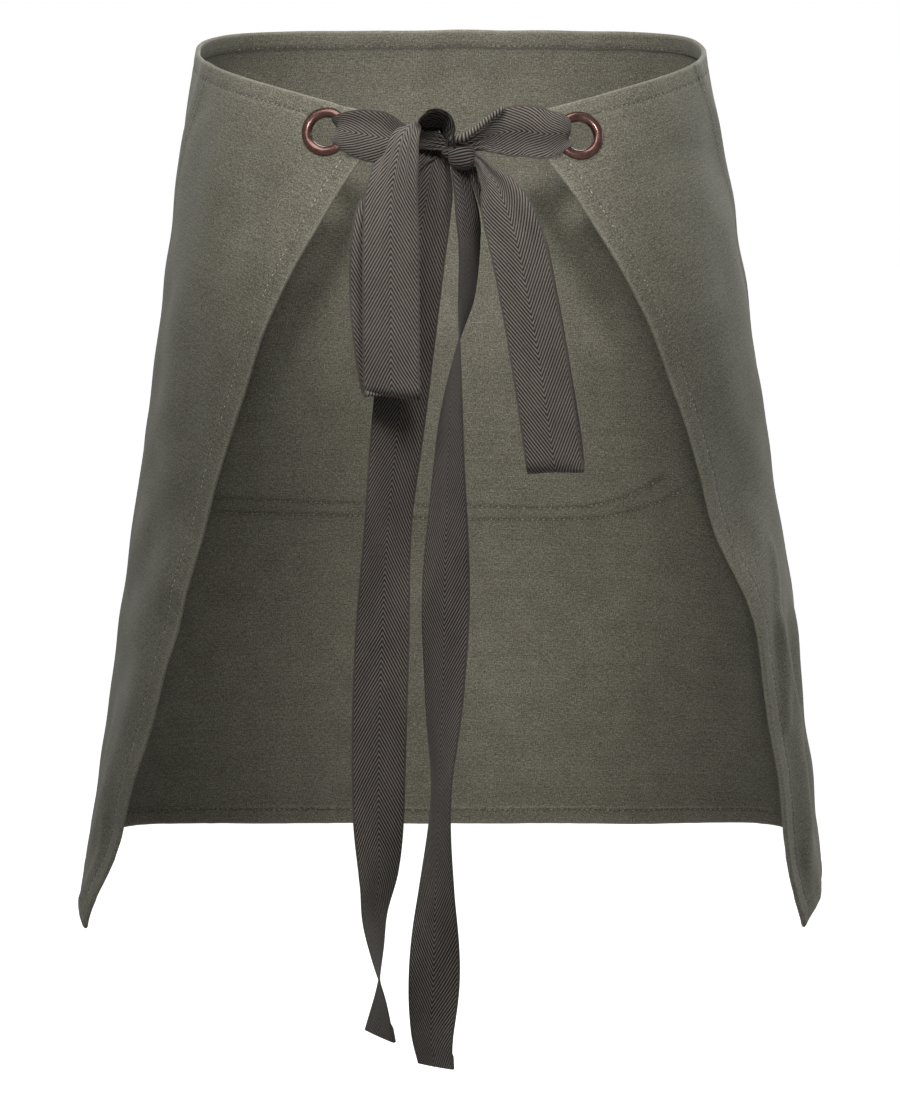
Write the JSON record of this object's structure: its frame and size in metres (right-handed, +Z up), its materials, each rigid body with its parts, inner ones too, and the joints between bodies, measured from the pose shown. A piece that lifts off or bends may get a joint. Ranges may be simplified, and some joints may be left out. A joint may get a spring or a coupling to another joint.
{
  "type": "waist apron",
  "caption": "Canvas waist apron wrapped round the hips, open at the back, with ring eyelets at the top corners and herringbone tape ties knotted in a bow with long tails.",
  "frame": {"origin": "middle of the waist opening, level with the top edge where it passes over the hips", "axes": "+Z up, +Y towards the wearer's front, +X towards the wearer's right; the bow is on the -Y side"},
  "size_m": [0.4416, 0.2423, 0.5924],
  "materials": {
    "canvas": "olive grey plain-weave cotton canvas, matt",
    "tape": "dark taupe herringbone twill tape, matt",
    "eyelet": "antique copper plating, satin"
  },
  "bodies": {
    "root": {"apron_panel": "canvas", "waist_hem": "canvas", "bottom_hem": "canvas", "side_hem_left": "canvas", "side_hem_right": "canvas", "eyelet_left": "eyelet", "eyelet_right": "eyelet", "tie_left": "tape", "tie_right": "tape"}
  },
  "joints": []
}
